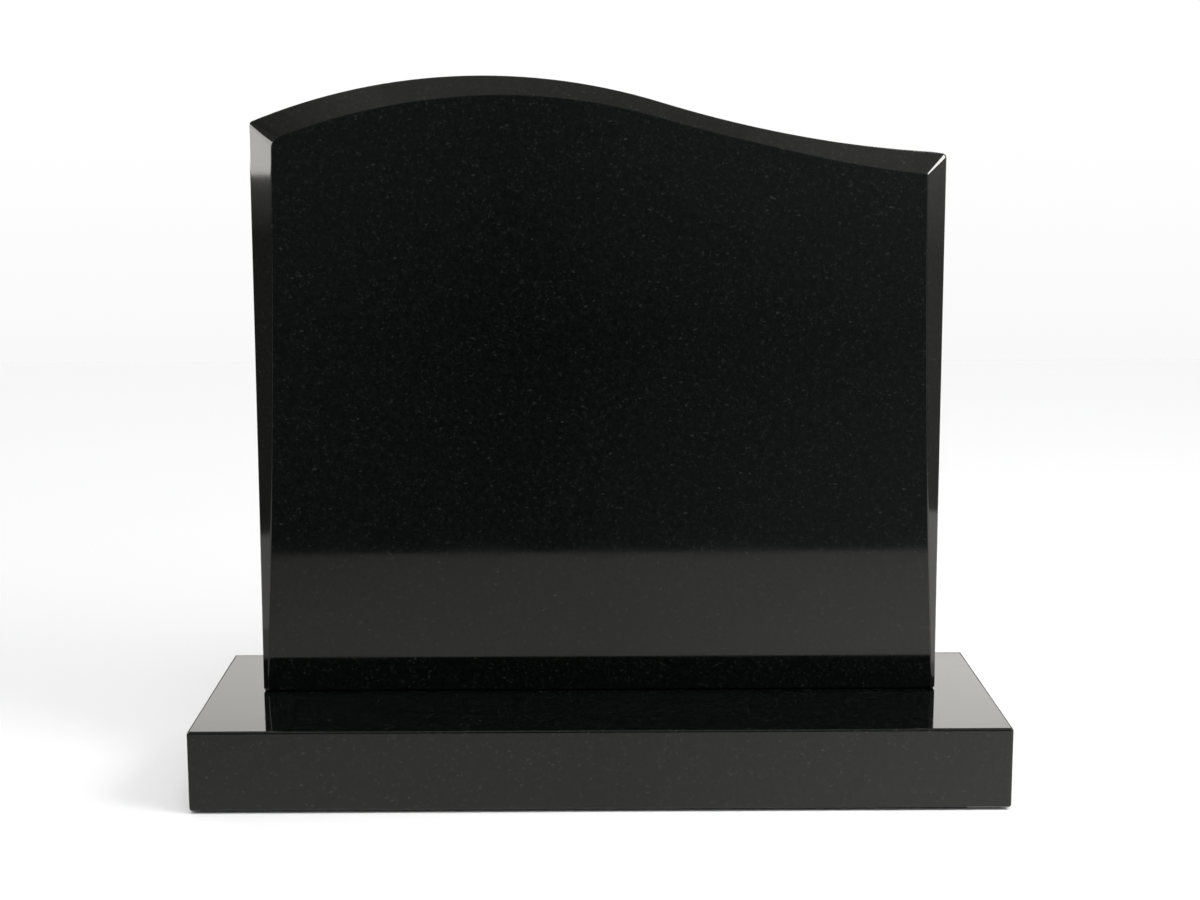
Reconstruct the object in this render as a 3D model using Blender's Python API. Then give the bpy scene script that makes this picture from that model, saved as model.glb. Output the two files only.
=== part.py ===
"""A polished granite headstone: an upright tablet with a waved top, standing on a plain oblong base.

The front faces -Y, the width runs along X, and the origin is the middle of the base's underside.
"""
import math

import bmesh
import bpy

# Base
BASE_WIDTH = 0.762
BASE_DEPTH = 0.267
BASE_HEIGHT = 0.079
BASE_ARRIS = 0.0025
BASE_FOOT_ARRIS = 0.0045

# Tablet, whose heights are measured from its own foot
TABLET_WIDTH = 0.660
TABLET_HEIGHT = 0.5944
TABLET_THICKNESS = 0.076
FRONT_LEDGE = 0.1285
BED_JOINT = 0.0003

# Waved top: a crown arc and a hollow arc that touch where the sweep turns
CREST_FROM_LEFT = 0.220
CROWN_RADIUS = 0.583
HOLLOW_RADIUS = 1.180
RIGHT_SHOULDER_DROP = 0.0735

# Hand ground bevel round the face, by its width at the places where it changes and its depth per width
BEVEL_SLOPE = 0.7
BEVEL_AT_LEFT_SHOULDER = 0.023
BEVEL_AT_LEFT_MIDDLE = 0.0163
BEVEL_AT_LEFT_FOOT = 0.005
BEVEL_IN_SWEEP = 0.0135
BEVEL_AT_RIGHT_SHOULDER = 0.020
BEVEL_AT_RIGHT_MIDDLE = 0.0143
BEVEL_AT_RIGHT_FOOT = 0.0035
NARROWEST_FROM_LEFT = 0.4475

# Small eased edges of the tablet
EASED_EDGE = 0.0015
BACK_ARRIS = 0.003
FOOT_ARRIS = 0.003
SHOULDER_ROUNDING = 0.002
LEFT_MITRE_ROUNDING = 0.005
RIGHT_MITRE_ROUNDING = 0.002

# Number of straight steps along each stretch
TOP_STEPS = 60
SIDE_STEPS = 8
CORNER_STEPS = 4
ARRIS_STEPS = 2

# Polished dark stone
STONE_COLOUR = (0.0065, 0.0068, 0.0066, 1.0)
STONE_ROUGHNESS = 0.09
STONE_METALLIC = 0.0

HALF_WIDTH = TABLET_WIDTH / 2
CREST_X = CREST_FROM_LEFT - HALF_WIDTH
CROWN_CENTRE = (CREST_X, TABLET_HEIGHT - CROWN_RADIUS)
FACE_Y = FRONT_LEDGE - BASE_DEPTH / 2
FOOT_Z = BASE_HEIGHT + BED_JOINT


def hollow_centre():
    """The centre above the sweep: it is one radius from the right shoulder and touches the crown arc."""
    shoulder_x = HALF_WIDTH
    shoulder_z = TABLET_HEIGHT - RIGHT_SHOULDER_DROP
    across = shoulder_x - CROWN_CENTRE[0]
    up = shoulder_z - CROWN_CENTRE[1]
    span = math.hypot(across, up)
    reach = CROWN_RADIUS + HOLLOW_RADIUS
    along = (reach ** 2 - HOLLOW_RADIUS ** 2 + span ** 2) / (2 * span)
    aside = math.sqrt(reach ** 2 - along ** 2)
    return (
        CROWN_CENTRE[0] + (along * across - aside * up) / span,
        CROWN_CENTRE[1] + (along * up + aside * across) / span,
    )


HOLLOW_CENTRE = hollow_centre()
TURN_SHARE = CROWN_RADIUS / (CROWN_RADIUS + HOLLOW_RADIUS)
TURN_X = CROWN_CENTRE[0] + TURN_SHARE * (HOLLOW_CENTRE[0] - CROWN_CENTRE[0])


def top_edge(x):
    """Height of the waved top at x, and its outward normal as (nx, nz)."""
    if x < TURN_X:
        across = x - CROWN_CENTRE[0]
        up = math.sqrt(CROWN_RADIUS ** 2 - across ** 2)
        return CROWN_CENTRE[1] + up, (across / CROWN_RADIUS, up / CROWN_RADIUS)
    across = HOLLOW_CENTRE[0] - x
    up = math.sqrt(HOLLOW_RADIUS ** 2 - across ** 2)
    return HOLLOW_CENTRE[1] - up, (across / HOLLOW_RADIUS, up / HOLLOW_RADIUS)


def ease(start, end, share):
    """Go from start to end along half a cosine wave."""
    share = min(max(share, 0.0), 1.0)
    return start + (end - start) * (1 - math.cos(math.pi * share)) / 2


def bevel_on_top(x):
    """Bevel width along the waved top: wide at both shoulders, narrow in the sweep."""
    from_left = x + HALF_WIDTH
    if from_left < NARROWEST_FROM_LEFT:
        return ease(BEVEL_AT_LEFT_SHOULDER, BEVEL_IN_SWEEP, from_left / NARROWEST_FROM_LEFT)
    share = (from_left - NARROWEST_FROM_LEFT) / (TABLET_WIDTH - NARROWEST_FROM_LEFT)
    return ease(BEVEL_IN_SWEEP, BEVEL_AT_RIGHT_SHOULDER, share)


def bevel_on_side(side, z):
    """Bevel width on the left (-1) or right (1) side: a smooth curve through its three widths."""
    foot, middle, shoulder = {
        -1: (BEVEL_AT_LEFT_FOOT, BEVEL_AT_LEFT_MIDDLE, BEVEL_AT_LEFT_SHOULDER),
        1: (BEVEL_AT_RIGHT_FOOT, BEVEL_AT_RIGHT_MIDDLE, BEVEL_AT_RIGHT_SHOULDER),
    }[side]
    share = min(max(z / top_edge(side * HALF_WIDTH)[0], 0.0), 1.0)
    bow = 4 * middle - 2 * (foot + shoulder)
    return foot + (shoulder - foot) * share + bow * share * (1 - share)


def shoulder_apex(side, inset):
    """Where the inset side meets the inset top. It returns the top's x there and the point itself."""
    near = side * HALF_WIDTH
    far = CREST_X if side < 0 else TURN_X
    for _ in range(40):
        x = (near + far) / 2
        height, normal = top_edge(x)
        depth = inset(bevel_on_top(x))
        point = (x - normal[0] * depth, height - normal[1] * depth)
        side_x = side * (HALF_WIDTH - inset(bevel_on_side(side, point[1])))
        if side * (point[0] - side_x) > 0:
            near = x
        else:
            far = x
    return x, point


def towards(start, end, distance):
    """The point that lies the given distance from start on the way to end."""
    share = distance / math.dist(start, end)
    return tuple(a + (b - a) * share for a, b in zip(start, end))


def rounded(before, apex, after, radius):
    """Round the corner at apex between two neighbouring points, as CORNER_STEPS + 1 points."""
    first = towards(apex, before, radius)
    last = towards(apex, after, radius)
    points = []
    for step in range(CORNER_STEPS + 1):
        t = step / CORNER_STEPS
        points.append(tuple(
            (1 - t) ** 2 * a + 2 * t * (1 - t) * b + t ** 2 * c for a, b, c in zip(first, apex, last)
        ))
    return points


def ring(inset, depth, shoulder_radii, foot_radius):
    """One closed loop round the tablet, as (x, y, z) points from the left foot over the top.

    inset and depth turn the local bevel width into the distance in from the outline
    and the distance back from the face.
    """
    foot_z = inset(FOOT_ARRIS)
    apexes = {side: shoulder_apex(side, inset) for side in (-1, 1)}
    feet = {side: (side * (HALF_WIDTH - inset(bevel_on_side(side, 0.0))), foot_z) for side in (-1, 1)}

    def side_run(side):
        """The side from foot to shoulder between its two rounded corners, as (x, z, bevel) rows."""
        low = foot_z + foot_radius
        high = apexes[side][1][1] - shoulder_radii[side]
        rows = []
        for step in range(SIDE_STEPS + 1):
            z = low + (high - low) * step / SIDE_STEPS
            width = bevel_on_side(side, z)
            rows.append((side * (HALF_WIDTH - inset(width)), z, width))
        return rows

    def top_run():
        """The waved top between its two rounded corners, as (x, z, bevel) rows."""
        start = apexes[-1][0] + shoulder_radii[-1]
        end = apexes[1][0] - shoulder_radii[1]
        rows = []
        for step in range(TOP_STEPS + 1):
            x = start + (end - start) * step / TOP_STEPS
            height, normal = top_edge(x)
            width = bevel_on_top(x)
            rows.append((x - normal[0] * inset(width), height - normal[1] * inset(width), width))
        return rows

    def corner(before, apex, after, radius, widths):
        """A rounded corner whose bevel goes from one width to the other, without its end points."""
        points = rounded(before[:2], apex, after[:2], radius)
        rows = []
        for step in range(1, CORNER_STEPS):
            share = step / CORNER_STEPS
            rows.append((*points[step], widths[0] + (widths[1] - widths[0]) * share))
        return rows

    left = side_run(-1)
    top = top_run()
    right = side_run(1)[::-1]
    foot = [(side * (HALF_WIDTH - inset(bevel_on_side(side, 0.0)) - foot_radius), foot_z, FOOT_ARRIS)
            for side in (1, -1)]
    rows = list(left)
    rows += corner(left[-1], apexes[-1][1], top[0], shoulder_radii[-1], (left[-1][2], top[0][2]))
    rows += top
    rows += corner(top[-1], apexes[1][1], right[0], shoulder_radii[1], (top[-1][2], right[0][2]))
    rows += right
    rows += corner(right[-1], feet[1], foot[0], foot_radius, (right[-1][2], FOOT_ARRIS))
    rows += foot
    rows += corner(foot[-1], feet[-1], left[0], foot_radius, (FOOT_ARRIS, left[0][2]))
    return [(x, depth(width), z) for x, z, width in rows]


def eased(width):
    """The eased edge at the bevel's rim, kept within a narrow bevel."""
    return min(EASED_EDGE, width / 2)


def tablet_rings():
    """The loops of the tablet's surface, from the back to the face."""
    outer = {-1: SHOULDER_ROUNDING, 1: SHOULDER_ROUNDING}
    inner = {-1: LEFT_MITRE_ROUNDING, 1: RIGHT_MITRE_ROUNDING}
    rings = [
        ring(lambda w: BACK_ARRIS, lambda w: TABLET_THICKNESS, outer, FOOT_ARRIS / 2),
        ring(lambda w: 0.0, lambda w: TABLET_THICKNESS - BACK_ARRIS, outer, FOOT_ARRIS),
    ]
    for step in range(ARRIS_STEPS + 1):
        t = step / ARRIS_STEPS
        rings.append(ring(
            lambda w, t=t: t ** 2 * eased(w),
            lambda w, t=t: BEVEL_SLOPE * w + ((1 - t) ** 2 - BEVEL_SLOPE * t ** 2) * eased(w),
            outer,
            FOOT_ARRIS,
        ))
    rings.append(ring(lambda w: w, lambda w: 0.0, inner, FOOT_ARRIS / 2))
    return rings


def stone_material(name):
    """Dark polished granite."""
    material = bpy.data.materials.new(name)
    material.use_nodes = True
    shader = material.node_tree.nodes["Principled BSDF"]
    shader.inputs["Base Color"].default_value = STONE_COLOUR
    shader.inputs["Roughness"].default_value = STONE_ROUGHNESS
    shader.inputs["Metallic"].default_value = STONE_METALLIC
    return material


def add_object(name, mesh, location):
    """Link a mesh as a named object with its own stone material."""
    mesh.materials.append(stone_material(name + "_stone"))
    thing = bpy.data.objects.new(name, mesh)
    thing.location = location
    bpy.context.scene.collection.objects.link(thing)
    return thing


def make_base():
    """The oblong base, with eased edges that are heavier along its foot."""
    mesh = bpy.data.meshes.new("base")
    work = bmesh.new()
    bmesh.ops.create_cube(work, size=1.0)
    bmesh.ops.scale(work, vec=(BASE_WIDTH, BASE_DEPTH, BASE_HEIGHT), verts=work.verts)
    bmesh.ops.translate(work, vec=(0, 0, BASE_HEIGHT / 2), verts=work.verts)
    weight = work.edges.layers.float.new("bevel_weight_edge")
    for edge in work.edges:
        on_foot = all(vert.co.z < BASE_HEIGHT / 2 for vert in edge.verts)
        edge[weight] = 1.0 if on_foot else BASE_ARRIS / BASE_FOOT_ARRIS
    work.to_mesh(mesh)
    work.free()
    base = add_object("base", mesh, (0, 0, 0))
    bevel = base.modifiers.new("eased_edges", "BEVEL")
    bevel.limit_method = "WEIGHT"
    bevel.width = BASE_FOOT_ARRIS
    bevel.segments = ARRIS_STEPS
    return base


def make_tablet():
    """The upright tablet, skinned over its loops and closed at the back and the face."""
    mesh = bpy.data.meshes.new("tablet")
    work = bmesh.new()
    loops = [[work.verts.new(point) for point in points] for points in tablet_rings()]
    for back, front in zip(loops, loops[1:]):
        for index, vert in enumerate(back):
            before = index - 1
            work.faces.new((back[before], vert, front[index], front[before]))
    work.faces.new(loops[0])
    work.faces.new(loops[-1])
    bmesh.ops.recalc_face_normals(work, faces=work.faces)
    work.to_mesh(mesh)
    work.free()
    return add_object("tablet", mesh, (0, FACE_Y, FOOT_Z))


def clear_scene():
    """Remove what a new file starts with."""
    for thing in list(bpy.data.objects):
        bpy.data.objects.remove(thing, do_unlink=True)


clear_scene()
make_base()
make_tablet()
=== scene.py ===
# %% [markdown]
# A polished granite headstone
#
# The real object is two stones: an upright tablet whose top is a long wave, and the oblong base that it
# stands on. Both are sawn from a dark, fine-grained granite and polished until they mirror what is around
# them. This lesson models both stones, gives them the granite's finish and photographs them in a plain
# white studio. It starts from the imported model, which fixes where everything is.

# %% Load the frame
import math

import bmesh
import bpy
from mathutils import Matrix, Vector


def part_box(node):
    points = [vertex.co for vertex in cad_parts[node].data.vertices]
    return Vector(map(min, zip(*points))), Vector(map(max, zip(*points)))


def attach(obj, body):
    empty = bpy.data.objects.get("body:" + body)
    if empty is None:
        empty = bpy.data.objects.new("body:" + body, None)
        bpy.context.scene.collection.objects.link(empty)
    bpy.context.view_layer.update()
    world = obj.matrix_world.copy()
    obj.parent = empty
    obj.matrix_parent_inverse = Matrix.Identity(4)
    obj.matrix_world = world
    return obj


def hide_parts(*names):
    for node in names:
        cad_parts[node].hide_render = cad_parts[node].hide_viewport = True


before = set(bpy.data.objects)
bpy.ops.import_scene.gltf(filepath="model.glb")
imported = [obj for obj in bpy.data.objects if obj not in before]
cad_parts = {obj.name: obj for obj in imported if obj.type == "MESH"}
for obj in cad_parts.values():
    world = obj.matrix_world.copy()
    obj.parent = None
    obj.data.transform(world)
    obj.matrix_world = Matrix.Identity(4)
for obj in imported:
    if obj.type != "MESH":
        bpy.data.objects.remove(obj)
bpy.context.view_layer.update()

base_low, base_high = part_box("base")
tablet_low, tablet_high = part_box("tablet")
print("base", [round(value, 4) for value in (*base_low, *base_high)])
print("tablet", [round(value, 4) for value in (*tablet_low, *tablet_high)])

# %% [markdown]
# Working in edit mode by code
#
# By hand, each step is the same: deselect everything, pick the parts to work on, run one tool. The helpers
# below do just that. Parts are picked by where they are or which way they face, because their numbers
# change whenever a tool adds something.


# %% Helpers for picking and editing
def use_only(piece):
    """Select one object and make it the active one."""
    if bpy.context.mode != "OBJECT":
        bpy.ops.object.mode_set(mode="OBJECT")
    bpy.ops.object.select_all(action="DESELECT")
    piece.select_set(True)
    bpy.context.view_layer.objects.active = piece


def pick(piece, kind, test):
    """In edit mode, select only the verts, edges or faces that pass the test, and say how many."""
    bpy.ops.mesh.select_mode(type={"verts": "VERT", "edges": "EDGE", "faces": "FACE"}[kind])
    bpy.ops.mesh.select_all(action="DESELECT")
    work = bmesh.from_edit_mesh(piece.data)
    chosen = [element for element in getattr(work, kind) if test(element)]
    for element in chosen:
        element.select_set(True)
    work.select_flush_mode()
    bmesh.update_edit_mesh(piece.data)
    return len(chosen)


def open_edges(piece):
    """The number of edges that don't join exactly two faces: none on a closed stone."""
    work = bmesh.new()
    work.from_mesh(piece.data)
    count = sum(1 for edge in work.edges if len(edge.link_faces) != 2)
    work.free()
    return count


def near(a, b, slack=1e-5):
    """True where two lengths are the same to within a hundredth of a millimetre."""
    return abs(a - b) < slack


# %% [markdown]
# The tablet's outline
#
# A mason draws the waved top with two compass arcs: a crown arc that rises to the crest, left of the
# middle, and a larger hollow arc that touches it and runs down to the lower right shoulder. The same can be
# done here: a single vertex goes up the left side by extruding, round the two arcs by spinning, and down
# the right side to the foot. Arcs that really touch leave no kink for the polish to show up.

# %% Driving sizes of the waved top
CREST_FROM_LEFT = 0.220
CROWN_RADIUS = 0.583
HOLLOW_RADIUS = 1.180
RIGHT_SHOULDER_DROP = 0.0735

HALF_WIDTH = (tablet_high.x - tablet_low.x) / 2
FACE_Y = tablet_low.y
BACK_Y = tablet_high.y
FOOT_Z = tablet_low.z
CROWN_CENTRE = Vector((tablet_low.x + CREST_FROM_LEFT, FACE_Y, tablet_high.z - CROWN_RADIUS))
RIGHT_SHOULDER = Vector((tablet_high.x, FACE_Y, tablet_high.z - RIGHT_SHOULDER_DROP))


# %% Find the hollow's centre and the place where the two arcs touch
def hollow_centre():
    """The point one hollow radius from the right shoulder and both radii from the crown's centre."""
    to_shoulder = RIGHT_SHOULDER - CROWN_CENTRE
    reach = CROWN_RADIUS + HOLLOW_RADIUS
    along = (reach ** 2 - HOLLOW_RADIUS ** 2 + to_shoulder.length_squared) / (2 * to_shoulder.length)
    aside = math.sqrt(reach ** 2 - along ** 2)
    ahead = to_shoulder.normalized()
    upward = Vector((-ahead.z, 0, ahead.x))
    return CROWN_CENTRE + ahead * along + upward * aside


def lean(point, centre):
    """The angle of the line from an arc's centre to a point on it, away from straight up or down."""
    return math.atan2(point.x - centre.x, abs(point.z - centre.z))


def crown_height(x):
    """Height of the crown arc at x."""
    return CROWN_CENTRE.z + math.sqrt(CROWN_RADIUS ** 2 - (x - CROWN_CENTRE.x) ** 2)


HOLLOW_CENTRE = hollow_centre()
TURN = CROWN_CENTRE.lerp(HOLLOW_CENTRE, CROWN_RADIUS / (CROWN_RADIUS + HOLLOW_RADIUS))
LEFT_SHOULDER = Vector((tablet_low.x, FACE_Y, crown_height(tablet_low.x)))
print("arcs touch at", [round(value, 4) for value in TURN], "left shoulder", round(LEFT_SHOULDER.z, 4))

# %% Draw the outline with extrude and spin
SIDE_STEPS = 14
CROWN_STEPS = 30
HOLLOW_STEPS = 20
START_SIZE = 0.01
FOOT_STEP = Vector((0, 0, 0.005))


def step_along(start, end, steps):
    """Extrude the selected vertex from start to end in equal steps."""
    for _ in range(steps):
        bpy.ops.mesh.extrude_vertices_move(TRANSFORM_OT_translate={"value": (end - start) / steps})


def draw_outline(name):
    """The tablet's front outline as one flat face, with four sharp corners."""
    left_foot = Vector((tablet_low.x, FACE_Y, FOOT_Z))
    right_foot = Vector((tablet_high.x, FACE_Y, FOOT_Z))
    bpy.ops.object.select_all(action="DESELECT")
    bpy.ops.mesh.primitive_plane_add(size=START_SIZE, location=left_foot)
    piece = bpy.context.object
    piece.name = name
    bpy.ops.object.transform_apply(location=True, rotation=True, scale=True)
    bpy.ops.object.mode_set(mode="EDIT")
    bpy.ops.mesh.select_mode(type="VERT")
    bpy.ops.mesh.select_all(action="SELECT")
    bpy.ops.mesh.merge(type="CENTER")
    step_along(left_foot, left_foot + FOOT_STEP, 1)
    step_along(left_foot + FOOT_STEP, LEFT_SHOULDER, SIDE_STEPS)
    crown_sweep = lean(TURN, CROWN_CENTRE) - lean(LEFT_SHOULDER, CROWN_CENTRE)
    bpy.ops.mesh.spin(steps=CROWN_STEPS, angle=-crown_sweep, center=CROWN_CENTRE, axis=(0, 1, 0))
    hollow_sweep = lean(RIGHT_SHOULDER, HOLLOW_CENTRE) - lean(TURN, HOLLOW_CENTRE)
    bpy.ops.mesh.spin(steps=HOLLOW_STEPS, angle=hollow_sweep, center=HOLLOW_CENTRE, axis=(0, 1, 0))
    step_along(RIGHT_SHOULDER, right_foot + FOOT_STEP, SIDE_STEPS)
    step_along(right_foot + FOOT_STEP, right_foot, 1)
    bpy.ops.mesh.select_all(action="SELECT")
    bpy.ops.mesh.edge_face_add()
    bpy.ops.object.mode_set(mode="OBJECT")
    return piece


outline = draw_outline("outline")
print("outline points", len(outline.data.vertices), "in", len(outline.data.polygons), "face")

# %% [markdown]
# The bevel round the face
#
# On the real stone the bevel was ground by hand. It is wide at the two shoulders, narrow where the top
# sweeps down, and it dies away towards the foot on both sides. It falls back from the face by about seven
# tenths of its width. The bevel tool gives one width all round, so the widths are written here as rules
# instead, from the few places where the width was judged.

# %% Bevel widths along the top and the sides
BEVEL_SLOPE = 0.7
BEVEL_IN_SWEEP = 0.0135
NARROWEST_FROM_LEFT = 0.4475
SIDE_BEVELS = {
    -1: {"foot": 0.005, "middle": 0.0163, "shoulder": 0.023},
    1: {"foot": 0.0035, "middle": 0.0143, "shoulder": 0.020},
}
FOOT_ARRIS = 0.002


def ease(start, end, share):
    """Go from start to end along half a cosine wave."""
    share = min(max(share, 0.0), 1.0)
    return start + (end - start) * (1 - math.cos(math.pi * share)) / 2


def bevel_on_top(x):
    """Bevel width on the waved top at x."""
    from_left = x - tablet_low.x
    if from_left < NARROWEST_FROM_LEFT:
        return ease(SIDE_BEVELS[-1]["shoulder"], BEVEL_IN_SWEEP, from_left / NARROWEST_FROM_LEFT)
    share = (from_left - NARROWEST_FROM_LEFT) / (2 * HALF_WIDTH - NARROWEST_FROM_LEFT)
    return ease(BEVEL_IN_SWEEP, SIDE_BEVELS[1]["shoulder"], share)


def bevel_on_side(side, z):
    """Bevel width on the left (-1) or right (1) side at height z, through its three widths."""
    widths = SIDE_BEVELS[side]
    shoulder = LEFT_SHOULDER if side < 0 else RIGHT_SHOULDER
    share = (z - FOOT_Z) / (shoulder.z - FOOT_Z)
    bow = 4 * widths["middle"] - 2 * (widths["foot"] + widths["shoulder"])
    return widths["foot"] + (widths["shoulder"] - widths["foot"]) * share + bow * share * (1 - share)


print("top bevel in mm:", [round(1000 * bevel_on_top(x / 100), 1) for x in range(-33, 34, 11)])

# %% [markdown]
# Loops from the back to the face
#
# The tablet is lofted through loops, as a boat's hull is through its frames. Two loops would make the
# ground bevel, and a few more on each edge make the edge rounded as a polisher leaves it, so that it
# catches a thin line of light. Each loop says how far it lies in from the outline and back from the face
# where the bevel has a given width, and how round its corners are.

# %% Rules for the loops
RIM_EASE = 0.0015
FACE_EASE = 0.0010
BACK_EASE = 0.003
EASE_STEPS = 4
CORNER_STEPS = 6
OUTER_ROUNDING = {"left": 0.0035, "right": 0.004, "foot": 0.003}
INNER_ROUNDING = {"left": 0.008, "right": 0.0015, "foot": 0.0015}
BACK_ROUNDING = {"left": 0.001, "right": 0.001, "foot": 0.001}


def mix(a, b, share):
    """The value that lies the given share of the way from a to b."""
    return a + (b - a) * share


def back_rule(share):
    """The back's rounded edge: share 0 lies on the back, share 1 on the sawn side."""
    turn = share * math.pi / 2
    inset = BACK_EASE * (1 - math.sin(turn))
    depth = BACK_Y - FACE_Y - BACK_EASE * (1 - math.cos(turn))
    rounding = {key: mix(BACK_ROUNDING[key], OUTER_ROUNDING[key], share) for key in OUTER_ROUNDING}
    return lambda width: inset, lambda width: depth, rounding


def rim_rule(share):
    """The rounded rim between the sawn side (share 0) and the ground bevel (share 1)."""
    def inset(width):
        return share ** 2 * min(RIM_EASE, width / 2)

    def depth(width):
        bend = (1 - share) ** 2 - BEVEL_SLOPE * share ** 2
        return BEVEL_SLOPE * width + bend * min(RIM_EASE, width / 2)

    return inset, depth, OUTER_ROUNDING


def face_rule(share):
    """The rounded edge between the ground bevel (share 0) and the polished face (share 1)."""
    def inset(width):
        return width + (share ** 2 - (1 - share) ** 2) * FACE_EASE

    def depth(width):
        return (1 - share) ** 2 * FACE_EASE * BEVEL_SLOPE

    return inset, depth, INNER_ROUNDING


shares = [step / EASE_STEPS for step in range(EASE_STEPS + 1)]
rules = [back_rule(share) for share in shares]
rules += [rim_rule(share) for share in shares]
rules += [face_rule(share) for share in shares]
print("loops", len(rules))

# %% [markdown]
# Where a loop runs
#
# A loop keeps the shape of the outline, but every part of it moves in by its own amount. So its top and its
# two sides are worked out first, then the corners where they cross, and then each point of the outline is
# given the place that is as far along its own side as it was before.

# %% The lines and corners of a loop
SLOPE_REACH = 1e-4
CORNER_PASSES = 8


def top_height(x):
    """Height of the waved top at x, on the crown arc or on the hollow arc."""
    if x < TURN.x:
        return crown_height(x)
    return HOLLOW_CENTRE.z - math.sqrt(HOLLOW_RADIUS ** 2 - (x - HOLLOW_CENTRE.x) ** 2)


def top_steepness(x):
    """Length of the waved top for each metre across, at x."""
    rise = top_height(x + SLOPE_REACH) - top_height(x - SLOPE_REACH)
    return math.hypot(1, rise / (2 * SLOPE_REACH))


def loop_lines(inset):
    """Functions for where a loop runs: its top's height at x, and a side's x at a height."""
    def top(x):
        x = min(max(x, tablet_low.x), tablet_high.x)
        return top_height(x) - inset(bevel_on_top(x)) * top_steepness(x)

    def side(sign, z):
        return sign * (HALF_WIDTH - inset(bevel_on_side(sign, z)))

    return top, side


def loop_corner(sign, inset):
    """A loop's shoulder on one side, where its top and that side cross."""
    top, side = loop_lines(inset)
    x = sign * HALF_WIDTH
    for _ in range(CORNER_PASSES):
        x = side(sign, top(x))
    return Vector((x, FACE_Y, top(x)))


for sign in (-1, 1):
    corner = loop_corner(sign, lambda width: width)
    print("corner of the face", [round(value, 4) for value in corner])


# %% The place of each point in a loop
def place_in_loop(point, inset, shoulders):
    """Where an outline point lies in a loop: as far along its own side as it was on the outline."""
    top, side = loop_lines(inset)
    foot_z = FOOT_Z + inset(FOOT_ARRIS)
    on_side = near(abs(point.x), HALF_WIDTH)
    if not on_side:
        x = mix(shoulders[-1].x, shoulders[1].x, (point.x + HALF_WIDTH) / (2 * HALF_WIDTH))
        return Vector((x, FACE_Y, top(x)))
    sign = -1 if point.x < 0 else 1
    shoulder_z = (LEFT_SHOULDER if sign < 0 else RIGHT_SHOULDER).z
    share = (point.z - FOOT_Z) / (shoulder_z - FOOT_Z)
    z = mix(foot_z, shoulders[sign].z, share)
    return Vector((side(sign, z), FACE_Y, z))


def depth_at(place, depth):
    """How far back from the face a loop lies at one of its places."""
    if place.z < FOOT_Z + FOOT_STEP.z / 2:
        share = (place.x + HALF_WIDTH) / (2 * HALF_WIDTH)
        return depth(mix(SIDE_BEVELS[-1]["foot"], SIDE_BEVELS[1]["foot"], share))
    if HALF_WIDTH - abs(place.x) < top_height(place.x) - place.z:
        return depth(bevel_on_side(-1 if place.x < 0 else 1, place.z))
    return depth(bevel_on_top(place.x))


shoulder_depth = depth_at(LEFT_SHOULDER, lambda width: BEVEL_SLOPE * width)
print("at the left shoulder the bevel falls back by", round(1000 * shoulder_depth, 1), "mm")

# %% Make one loop for each rule
CORNER_REACH = 1e-4


def copy_of(piece, name):
    """A copy of a piece with a mesh of its own."""
    twin = piece.copy()
    twin.data = piece.data.copy()
    twin.name = name
    bpy.context.scene.collection.objects.link(twin)
    return twin


def make_loop(name, rule):
    """The outline moved to where one rule wants it, its four corners rounded and its face taken out."""
    inset, depth, rounding = rule
    shoulders = {sign: loop_corner(sign, inset) for sign in (-1, 1)}
    loop = copy_of(outline, name)
    use_only(loop)
    bpy.ops.object.mode_set(mode="EDIT")
    starts = {vert.index: vert.co.copy() for vert in bmesh.from_edit_mesh(loop.data).verts}
    for index, start in starts.items():
        place = place_in_loop(start, inset, shoulders)
        place.y = FACE_Y + depth_at(place, depth)
        pick(loop, "verts", lambda vert, index=index: vert.index == index)
        bpy.ops.transform.translate(value=place - start)
    for key, sign, low in (("left", -1, False), ("right", 1, False), ("foot", -1, True), ("foot", 1, True)):
        z = FOOT_Z + inset(FOOT_ARRIS) if low else shoulders[sign].z
        x = loop_lines(inset)[1](sign, z)
        corner = Vector((x, 0, z))
        pick(loop, "verts", lambda vert, corner=corner: (vert.co - corner).xz.length < CORNER_REACH)
        bpy.ops.mesh.bevel(offset=rounding[key], segments=CORNER_STEPS, affect="VERTICES")
    pick(loop, "faces", lambda face: True)
    bpy.ops.mesh.delete(type="ONLY_FACE")
    bpy.ops.object.mode_set(mode="OBJECT")
    return loop


loops = [make_loop(f"loop_{number}", rule) for number, rule in enumerate(rules)]
loop_size = len(loops[0].data.vertices)
print("points in each loop", sorted({len(loop.data.vertices) for loop in loops}))

# %% [markdown]
# Skin the loops
#
# All loops are joined into one mesh, each is bridged to the next, and the back and the face are filled.
# Joining keeps the points in order, so a loop is found again by its share of the point numbers.

# %% Bridge the loops and close the slab
def ring_edge(number):
    """A test for the edges of one loop, by its points' numbers."""
    first = number * loop_size
    return lambda edge: all(first <= vert.index < first + loop_size for vert in edge.verts)


def ring_pair(number):
    """A test for the edges of one loop and the next, without those between the two."""
    here, after = ring_edge(number), ring_edge(number + 1)
    return lambda edge: here(edge) or after(edge)


use_only(loops[0])
for loop in loops[1:]:
    loop.select_set(True)
bpy.ops.object.join()
tablet = bpy.context.object
tablet.name = "headstone_tablet"
bpy.data.objects.remove(outline)
bpy.ops.object.mode_set(mode="EDIT")
for number in range(len(rules) - 1):
    pick(tablet, "edges", ring_pair(number))
    bpy.ops.mesh.bridge_edge_loops()
for number in (0, len(rules) - 1):
    pick(tablet, "edges", ring_edge(number))
    bpy.ops.mesh.edge_face_add()
bpy.ops.mesh.select_all(action="SELECT")
bpy.ops.mesh.normals_make_consistent(inside=False)
bpy.ops.object.mode_set(mode="OBJECT")
print("tablet faces", len(tablet.data.polygons), "open edges", open_edges(tablet))

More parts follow.
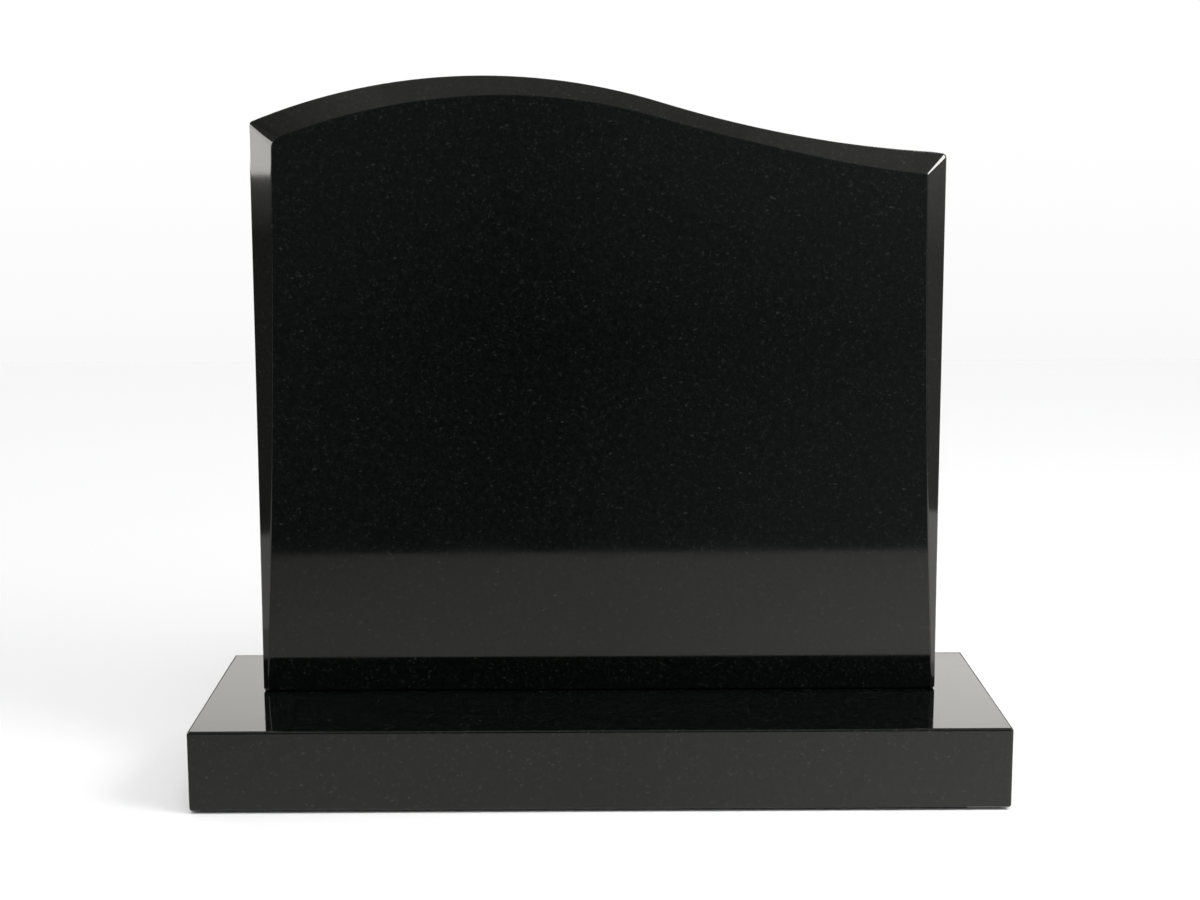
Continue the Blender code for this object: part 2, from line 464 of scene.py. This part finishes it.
# %% [markdown]
# Let the light run over the easings
#
# Polished granite shows every kink in its reflections. Smooth shading makes the rounded edges turn in one
# sweep, and weighted normals keep the big sawn and polished flats truly flat in the light, because the
# large faces then decide the normals at their own edges.

# %% Shade the tablet
def shade_stone(piece):
    """Smooth shading with the large flats kept flat."""
    use_only(piece)
    bpy.ops.object.shade_smooth()
    bpy.ops.object.modifier_add(type="WEIGHTED_NORMAL")
    piece.modifiers[-1].keep_sharp = True
    piece.modifiers[-1].weight = 100
    bpy.ops.object.modifier_apply(modifier=piece.modifiers[-1].name)


shade_stone(tablet)
print("tablet corners with own normals", tablet.data.has_custom_normals)

# %% [markdown]
# The base
#
# The base is one sawn block with polished faces. All its edges are rounded by a couple of millimetres with
# a hand machine. The underside is cut back a little round its edge so that it can't chip, which leaves a
# thin dark line along the ground. A bevelled cube with its underside inset and drawn down makes just that.

# %% Make the base
BASE_EASE = 0.0025
BASE_EASE_STEPS = 4
FOOT_REBATE_IN = 0.006
FOOT_REBATE_UP = 0.0028
UNDERSIDE_AREA = 0.1

bpy.ops.object.select_all(action="DESELECT")
block_low = base_low + Vector((0, 0, FOOT_REBATE_UP))
bpy.ops.mesh.primitive_cube_add(size=1, location=(block_low + base_high) / 2)
base = bpy.context.object
base.name = "headstone_base"
bpy.ops.transform.resize(value=base_high - block_low)
bpy.ops.object.transform_apply(location=True, rotation=True, scale=True)
bpy.ops.object.mode_set(mode="EDIT")
bpy.ops.mesh.select_all(action="SELECT")
bpy.ops.mesh.bevel(offset=BASE_EASE, segments=BASE_EASE_STEPS, affect="EDGES")
pick(base, "faces", lambda face: face.normal.z < 0 and face.calc_area() > UNDERSIDE_AREA)
bpy.ops.mesh.inset(thickness=FOOT_REBATE_IN)
bpy.ops.mesh.extrude_region_move(TRANSFORM_OT_translate={"value": (0, 0, -FOOT_REBATE_UP)})
bpy.ops.mesh.select_all(action="SELECT")
bpy.ops.mesh.normals_make_consistent(inside=False)
bpy.ops.object.mode_set(mode="OBJECT")
shade_stone(base)
print("base faces", len(base.data.polygons), "open edges", open_edges(base))

# %% [markdown]
# Dark polished granite
#
# The stone is nearly black, with a faint green cast, and it holds small pale laths of feldspar, one to
# three millimetres long. Almost all of its light is mirrored from its surroundings, so its own colour stays
# very low. Solid stone has its grain all the way through, and so does a pattern that is read from object
# coordinates. Each crystal is a Voronoi cell that draws its own tone: most stay dark, and a few are pale.
# The laths are cells in coordinates that are stretched one way and turned, one turn for each kind.

# %% Sizes and tones of the grain
GRAIN_SIZE = 0.0021
GRAIN_TONES = ((0.0005, 0.0010, 0.0006, 1), (0.0020, 0.0028, 0.0023, 1))
LATH_LENGTH = 1.8
FELDSPARS = (
    # size of the crystals, turn in degrees, share that is pale, tone of the dullest and the brightest
    (0.0014, (0, 35, 20), 0.06, (0.0018, 0.0022, 0.0018, 1), (0.0066, 0.0072, 0.0067, 1)),
    (0.0014, (0, -65, -15), 0.05, (0.0018, 0.0022, 0.0018, 1), (0.0070, 0.0076, 0.0071, 1)),
    (0.0015, (0, 85, 10), 0.016, (0.0045, 0.0050, 0.0044, 1), (0.0125, 0.0131, 0.0120, 1)),
)
CLOUD_SIZE = 0.006
CLOUD_DEPTH = (0.75, 1.3)
WEAR_SIZE = 0.09
POLISH = (0.040, 0.065)
NOISE_RANGE = (0.3, 0.7)
DULL_BELOW = 0.2
LATH_EDGE = 0.01
REFRACTION = 1.5
MIRROR_LEVEL = 0.35
QUARRY = {
    # stone: its place in the quarry, how light its own colour is
    "tablet": ((0.31, 0.12, 0.05), 1.0),
    "base": ((1.72, 0.40, 0.23), 1.4),
}
print("kinds of feldspar", len(FELDSPARS))


# %% Node helpers
def add_node(tree, kind, **settings):
    """A shader node with some of its settings made."""
    node = tree.nodes.new(kind)
    for name, value in settings.items():
        setattr(node, name, value)
    return node


def blend_tones(tree, share, tones):
    """A colour between two tones, by a share that another node works out."""
    ramp = add_node(tree, "ShaderNodeMix", data_type="RGBA")
    colours = [socket for socket in ramp.inputs if socket.type == "RGBA"]
    colours[0].default_value, colours[1].default_value = tones
    tree.links.new(share, ramp.inputs["Factor"])
    return next(socket for socket in ramp.outputs if socket.type == "RGBA"), colours


def spread(tree, value, low, high, to_low=0.0, to_high=1.0):
    """Stretch the part of a value between low and high over a new range."""
    node = add_node(tree, "ShaderNodeMapRange", interpolation_type="SMOOTHSTEP")
    for name, number in (("From Min", low), ("From Max", high), ("To Min", to_low), ("To Max", to_high)):
        node.inputs[name].default_value = number
    tree.links.new(value, node.inputs["Value"])
    return node.outputs["Result"]


def cells(tree, where, size):
    """Crystals of a size, as three draws from 0 to 1 for each crystal."""
    pattern = add_node(tree, "ShaderNodeTexVoronoi")
    pattern.inputs["Scale"].default_value = 1 / size
    tree.links.new(where, pattern.inputs["Vector"])
    draw = add_node(tree, "ShaderNodeSeparateColor")
    tree.links.new(pattern.outputs["Color"], draw.inputs["Color"])
    return draw.outputs


def laths(tree, where, turn):
    """Coordinates in which crystals come out longer than they are wide, and turned."""
    mapping = add_node(tree, "ShaderNodeMapping", vector_type="TEXTURE")
    mapping.inputs["Rotation"].default_value = [math.radians(angle) for angle in turn]
    mapping.inputs["Scale"].default_value = (1, 1, LATH_LENGTH)
    tree.links.new(where, mapping.inputs["Vector"])
    return mapping.outputs["Vector"]


def clouds(tree, where, size):
    """Soft noise with patches of a size."""
    noise = add_node(tree, "ShaderNodeTexNoise")
    noise.inputs["Scale"].default_value = 1 / size
    tree.links.new(where, noise.inputs["Vector"])
    return noise.outputs["Fac"]


# %% Lay the granite on both stones
def granite(name, quarry_offset, lightness):
    """Polished granite; the offset makes the two stones come from different places in the quarry."""
    material = bpy.data.materials.new(name)
    material.use_nodes = True
    tree = material.node_tree
    shader = tree.nodes["Principled BSDF"]
    place = add_node(tree, "ShaderNodeTexCoord")
    mapping = add_node(tree, "ShaderNodeMapping")
    mapping.inputs["Location"].default_value = quarry_offset
    tree.links.new(place.outputs["Object"], mapping.inputs["Vector"])
    where = mapping.outputs["Vector"]

    grain = cells(tree, where, GRAIN_SIZE)
    stone, _ = blend_tones(tree, grain["Green"], GRAIN_TONES)
    for size, turn, share, dull, bright in FELDSPARS:
        draw = cells(tree, laths(tree, where, turn), size)
        pale, _ = blend_tones(tree, spread(tree, draw["Blue"], DULL_BELOW, 1.0), (dull, bright))
        chosen = spread(tree, draw["Red"], 1 - share, 1 - share + LATH_EDGE)
        mixed, inputs = blend_tones(tree, chosen, (dull, bright))
        tree.links.new(stone, inputs[0])
        tree.links.new(pale, inputs[1])
        stone = mixed
    depth = [lightness * value for value in CLOUD_DEPTH]
    patches = spread(tree, clouds(tree, where, CLOUD_SIZE), *NOISE_RANGE, *depth)
    shade = add_node(tree, "ShaderNodeVectorMath", operation="SCALE")
    tree.links.new(stone, shade.inputs["Vector"])
    tree.links.new(patches, shade.inputs["Scale"])
    tree.links.new(shade.outputs["Vector"], shader.inputs["Base Color"])
    wear = spread(tree, clouds(tree, where, WEAR_SIZE), *NOISE_RANGE, *POLISH)
    tree.links.new(wear, shader.inputs["Roughness"])
    shader.inputs["IOR"].default_value = REFRACTION
    shader.inputs["Specular IOR Level"].default_value = MIRROR_LEVEL
    return material


for stone, node in ((tablet, "tablet"), (base, "base")):
    stone.data.materials.append(granite(node + "_granite", *QUARRY[node]))
    print(stone.name, "is made of", stone.data.materials[0].name)

# %% [markdown]
# Join the frame
#
# Each stone now stands in for the plain solid of the same place in the imported model, which is hidden, and
# hangs from the model's root body.

# %% Tie each stone to its solid
for stone, node in ((tablet, "tablet"), (base, "base")):
    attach(stone, "root")
    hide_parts(node)
    print(stone.name, "replaces", node)

# %% [markdown]
# The camera
#
# The photograph looks down a little on the stone from about two metres, from just left of its middle, with
# a moderately long lens. The edges of the base, and the sides and foot of the tablet, fix where it stood.

# %% Place the camera
CAMERA_PLACE = Vector((-0.01587, -1.92433, 0.64715))
LENS = 60.70
LOOK_DOWN = math.radians(9.707)
LOOK_RIGHT = math.radians(0.4975)
TILT = math.radians(-0.11)

camera_data = bpy.data.cameras.new("camera")
camera_data.lens = LENS
camera = bpy.data.objects.new("camera", camera_data)
aim = Matrix.Rotation(-LOOK_RIGHT, 4, "Z") @ Matrix.Rotation(math.pi / 2 - LOOK_DOWN, 4, "X")
camera.matrix_world = Matrix.Translation(CAMERA_PLACE) @ aim @ Matrix.Rotation(TILT, 4, "Z")
bpy.context.scene.collection.objects.link(camera)
bpy.context.scene.camera = camera
print("camera stands", round(CAMERA_PLACE.length, 2), "m from the stone")

# %% [markdown]
# A pale floor in a white room
#
# The stone stands on a white floor in a white room. Two soft lamps light it: one high up in front, which
# leaves hardly any shadow, and one nearer, at the right, which makes the right half lighter and leaves a
# weak shadow on the left. They aren't seen in the polish, because there the cards below decide.

# %% Room and floor
FLOOR_TONE = 0.85
FLOOR_ROUGHNESS = 0.9
FLOOR_SIZE = 14
ROOM_TONE = 0.62

bpy.context.scene.view_settings.view_transform = "Standard"
room = bpy.data.worlds.new("room")
room.use_nodes = True
room.node_tree.nodes["Background"].inputs["Color"].default_value = (1, 1, 1, 1)
room.node_tree.nodes["Background"].inputs["Strength"].default_value = ROOM_TONE
bpy.context.scene.world = room

bpy.ops.object.select_all(action="DESELECT")
bpy.ops.mesh.primitive_plane_add(size=FLOOR_SIZE, location=(0, 0, 0))
floor = bpy.context.object
floor.name = "floor"
floor_paint = bpy.data.materials.new("floor_paint")
floor_paint.use_nodes = True
floor_shader = floor_paint.node_tree.nodes["Principled BSDF"]
floor_shader.inputs["Base Color"].default_value = (FLOOR_TONE, FLOOR_TONE, FLOOR_TONE, 1)
floor_shader.inputs["Roughness"].default_value = FLOOR_ROUGHNESS
floor_shader.inputs["Specular IOR Level"].default_value = 0.0
floor.data.materials.append(floor_paint)
print("floor", round(floor.dimensions.x, 1), "m wide")

# %% Lamps
LAMPS = {
    # name: kind, place, size in metres or spread in degrees, power
    "front_lamp": ("SUN", (-0.3, -1.3, 3.0), 50, 1.6),
    "right_lamp": ("AREA", (1.25, -0.75, 1.3), 0.9, 20),
}
LAMP_AIM = Vector((0, 0, 0.2))

for name, (kind, lamp_place, size, power) in LAMPS.items():
    lamp_data = bpy.data.lights.new(name, kind)
    if kind == "SUN":
        lamp_data.angle = math.radians(size)
    else:
        lamp_data.size = size
    lamp_data.energy = power
    lamp = bpy.data.objects.new(name, lamp_data)
    lamp.location = lamp_place
    lamp.rotation_euler = (LAMP_AIM - lamp.location).to_track_quat("-Z", "Y").to_euler()
    lamp.visible_glossy = False
    bpy.context.scene.collection.objects.link(lamp)
    print(name, "stands", round(lamp.location.length, 2), "m away")

# %% [markdown]
# What the polish mirrors
#
# A polished dark stone is lit by what it mirrors. A photographer hangs dark and bright cards just outside
# the picture for it: a dark one in front keeps the face black, the white floor below it gives the pale
# band along the foot, and a light wall behind brightens the top of the base. A tall lamp on the left lights
# the upper part of the left bevel, and a small one on the right makes the white glint where the top and
# right bevels meet. These cards are seen in reflections alone.

# %% Places and tones of the cards
WARM = (1.0, 0.98, 0.94, 1)
COOL = (0.95, 0.99, 1.05, 1)
WHITE = (1, 1, 1, 1)


def even(tone):
    """One tone at all four corners."""
    return tone, tone, tone, tone


def rising(low, high):
    """One tone along the lower edge and another along the upper edge."""
    return low, low, high, high


def across(left, right):
    """One tone along the left edge and another along the right edge."""
    return left, right, left, right


CARDS = {
    # name: centre, size in metres, turn in degrees, tint,
    # corner tones (low left, low right, high left, high right)
    "front_a": ((-0.375, -0.966, 0.16), (0.55, 0.32), (90, 0, -1.4), COOL, (0.10, 0.09, 0.16, 0.045)),
    "front_b": ((0.275, -0.982, 0.16), (0.75, 0.32), (90, 0, -1.4), COOL, (0.09, 0.33, 0.045, 0.245)),
    "front_c": ((-0.375, -0.966, 0.92), (0.55, 1.20), (90, 0, -1.4), COOL, (0.16, 0.045, 0.42, 0.44)),
    "front_d": ((0.275, -0.982, 0.92), (0.75, 1.20), (90, 0, -1.4), COOL, (0.045, 0.245, 0.44, 0.80)),
    "floor_left": ((-0.4, -0.555, 0.002), (0.8, 0.83), (0, 0, 0), WARM, (0.40, 0.86, 0.95, 1.03)),
    "floor_right": ((0.4, -0.555, 0.002), (0.8, 0.83), (0, 0, 0), WARM, (0.86, 1.30, 1.03, 2.25)),
    "behind_low": ((0, 2.5, 0.355), (8.0, 0.71), (90, 0, 0), WARM, even(0.02)),
    "behind": ((0, 2.5, 0.83), (2.2, 0.24), (90, 0, 0), WARM, across(1.85, 2.40)),
    "behind_high": ((0, 2.5, 1.9), (8.0, 1.9), (90, 0, 0), WARM, even(0.05)),
    "left_low": ((-1.3, 0, 0.27), (3.0, 0.42), (90, 0, 90), WARM, even(0.2)),
    "left_middle": ((-1.3, 0, 0.522), (3.0, 0.084), (90, 0, 90), WARM, rising(0.2, 0.9)),
    "left_lamp": ((-1.3, 0, 0.812), (3.0, 0.496), (90, 0, 90), WARM, even(11.5)),
    "left_high": ((-1.3, 0, 1.63), (3.0, 1.14), (90, 0, 90), WARM, rising(0.6, 0.3)),
    "left_floor": ((-1.475, 0, 0.002), (1.05, 2.4), (0, 0, 0), WARM, even(1.5)),
    "left_near": ((-0.87, 0, 0.002), (0.16, 2.4), (0, 0, 0), WARM, even(0.9)),
    "left_dark": ((-0.59, 0.1, 0.002), (0.40, 0.48), (0, 0, 0), WARM, even(0.03)),
    "right": ((1.3, 0, 0.265), (3.0, 0.35), (90, 0, -90), WARM, rising(0.55, 0.6)),
    "right_middle": ((1.3, 0, 0.53), (3.0, 0.18), (90, 0, -90), WARM, rising(0.6, 1.4)),
    "right_high": ((1.3, 0, 1.3), (3.0, 1.36), (90, 0, -90), WARM, rising(1.4, 1.0)),
    "right_lamp": ((1.28, -0.68, 1.25), (0.8, 0.8), (90, 0, -90), WARM, even(30)),
    "right_floor": ((1.48, 0, 0.002), (1.44, 2.4), (0, 0, 0), WARM, even(2.6)),
    "right_near": ((0.55, 0.1, 0.002), (0.42, 0.48), (0, 0, 0), WARM, even(1.25)),
    "over_left": ((-1.15, -0.3, 2.3), (0.9, 3.4), (0, 0, 0), WARM, across(0.15, 0.85)),
    "over": ((0, -0.3, 2.3), (1.4, 3.4), (0, 0, 0), WARM, across(0.72, 0.65)),
    "over_right": ((1.15, -0.3, 2.3), (0.9, 3.4), (0, 0, 0), WARM, across(0.75, 1.7)),
}
BACKDROP = ((0, 3.2, 3), (16, 6.2), (90, 0, 0), WHITE, rising(0.935, 1.55))
print("cards", len(CARDS))


# %% Hang the cards
def card_paint(name, tint, tones):
    """Paint that glows in one tint, with a tone at each corner and even steps between them."""
    material = bpy.data.materials.new(name)
    material.use_nodes = True
    tree = material.node_tree
    tree.nodes.clear()
    place = add_node(tree, "ShaderNodeTexCoord")
    split = add_node(tree, "ShaderNodeSeparateXYZ")
    tree.links.new(place.outputs["Generated"], split.inputs["Vector"])
    rows = []
    for left, right in (tones[:2], tones[2:]):
        node = add_node(tree, "ShaderNodeMapRange")
        node.inputs["To Min"].default_value = left
        node.inputs["To Max"].default_value = right
        tree.links.new(split.outputs["X"], node.inputs["Value"])
        rows.append(node.outputs["Result"])
    upward = add_node(tree, "ShaderNodeMapRange")
    tree.links.new(split.outputs["Y"], upward.inputs["Value"])
    tree.links.new(rows[0], upward.inputs["To Min"])
    tree.links.new(rows[1], upward.inputs["To Max"])
    glow = add_node(tree, "ShaderNodeEmission")
    glow.inputs["Color"].default_value = tint
    tree.links.new(upward.outputs["Result"], glow.inputs["Strength"])
    output = add_node(tree, "ShaderNodeOutputMaterial")
    tree.links.new(glow.outputs["Emission"], output.inputs["Surface"])
    return material


def hang_card(name, centre, size, turn, tint, tones, sights):
    """A glowing card that is seen only by the kinds of rays named in sights."""
    bpy.ops.object.select_all(action="DESELECT")
    turned = [math.radians(angle) for angle in turn]
    bpy.ops.mesh.primitive_plane_add(size=1, location=centre, rotation=turned)
    card = bpy.context.object
    card.name = "card_" + name
    card.scale = (size[0], size[1], 1)
    card.data.materials.append(card_paint("card_" + name, tint, tones))
    for sight in ("camera", "diffuse", "glossy", "transmission", "shadow"):
        setattr(card, "visible_" + sight, sight in sights)
    return card


for name, settings in CARDS.items():
    print("card", hang_card(name, *settings, sights=("glossy",)).name)
backdrop = hang_card("backdrop", *BACKDROP, sights=("camera",))
print("backdrop at", backdrop.location.y, "m")
